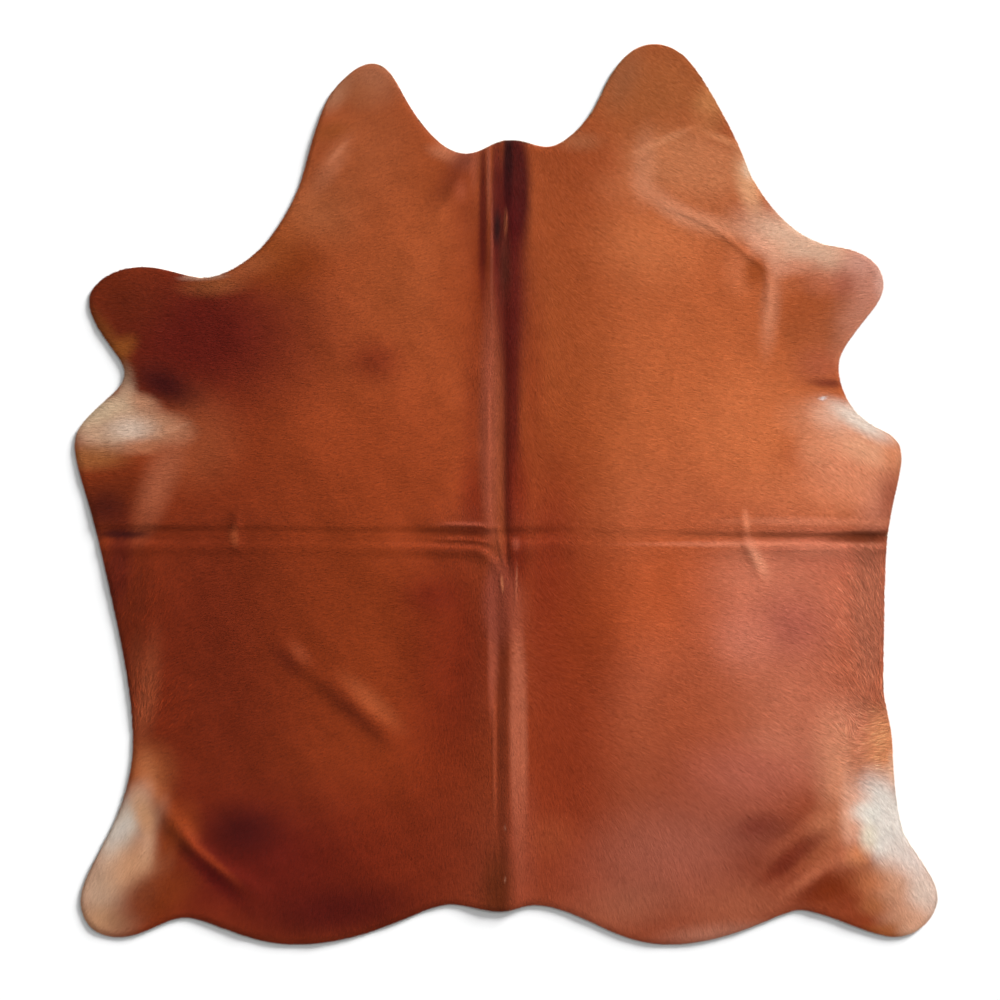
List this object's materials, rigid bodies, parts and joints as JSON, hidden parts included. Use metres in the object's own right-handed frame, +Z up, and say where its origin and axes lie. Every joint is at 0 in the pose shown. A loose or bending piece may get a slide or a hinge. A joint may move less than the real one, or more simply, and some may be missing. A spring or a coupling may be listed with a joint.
{
  "type": "cowhide rug",
  "caption": "Whole natural cowhide rug lying flat, chestnut hair side up, cut to the hide's own outline with neck, leg and rump lobes.",
  "frame": {"origin": "on the floor, under the middle of the hide's box", "axes": "+Z up out of the hair side, +Y along the spine towards the neck, +X to the right seen from above"},
  "size_m": [2.025, 2.114, 0.014],
  "materials": {
    "hair_on_hide": "short glossy hair lying flat, chestnut brown, paler at the armpits and hind legs",
    "flesh_side": "matt pale suede of the leather's underside and cut edge"
  },
  "bodies": {
    "root": {"hide": "hair_on_hide"}
  },
  "joints": []
}
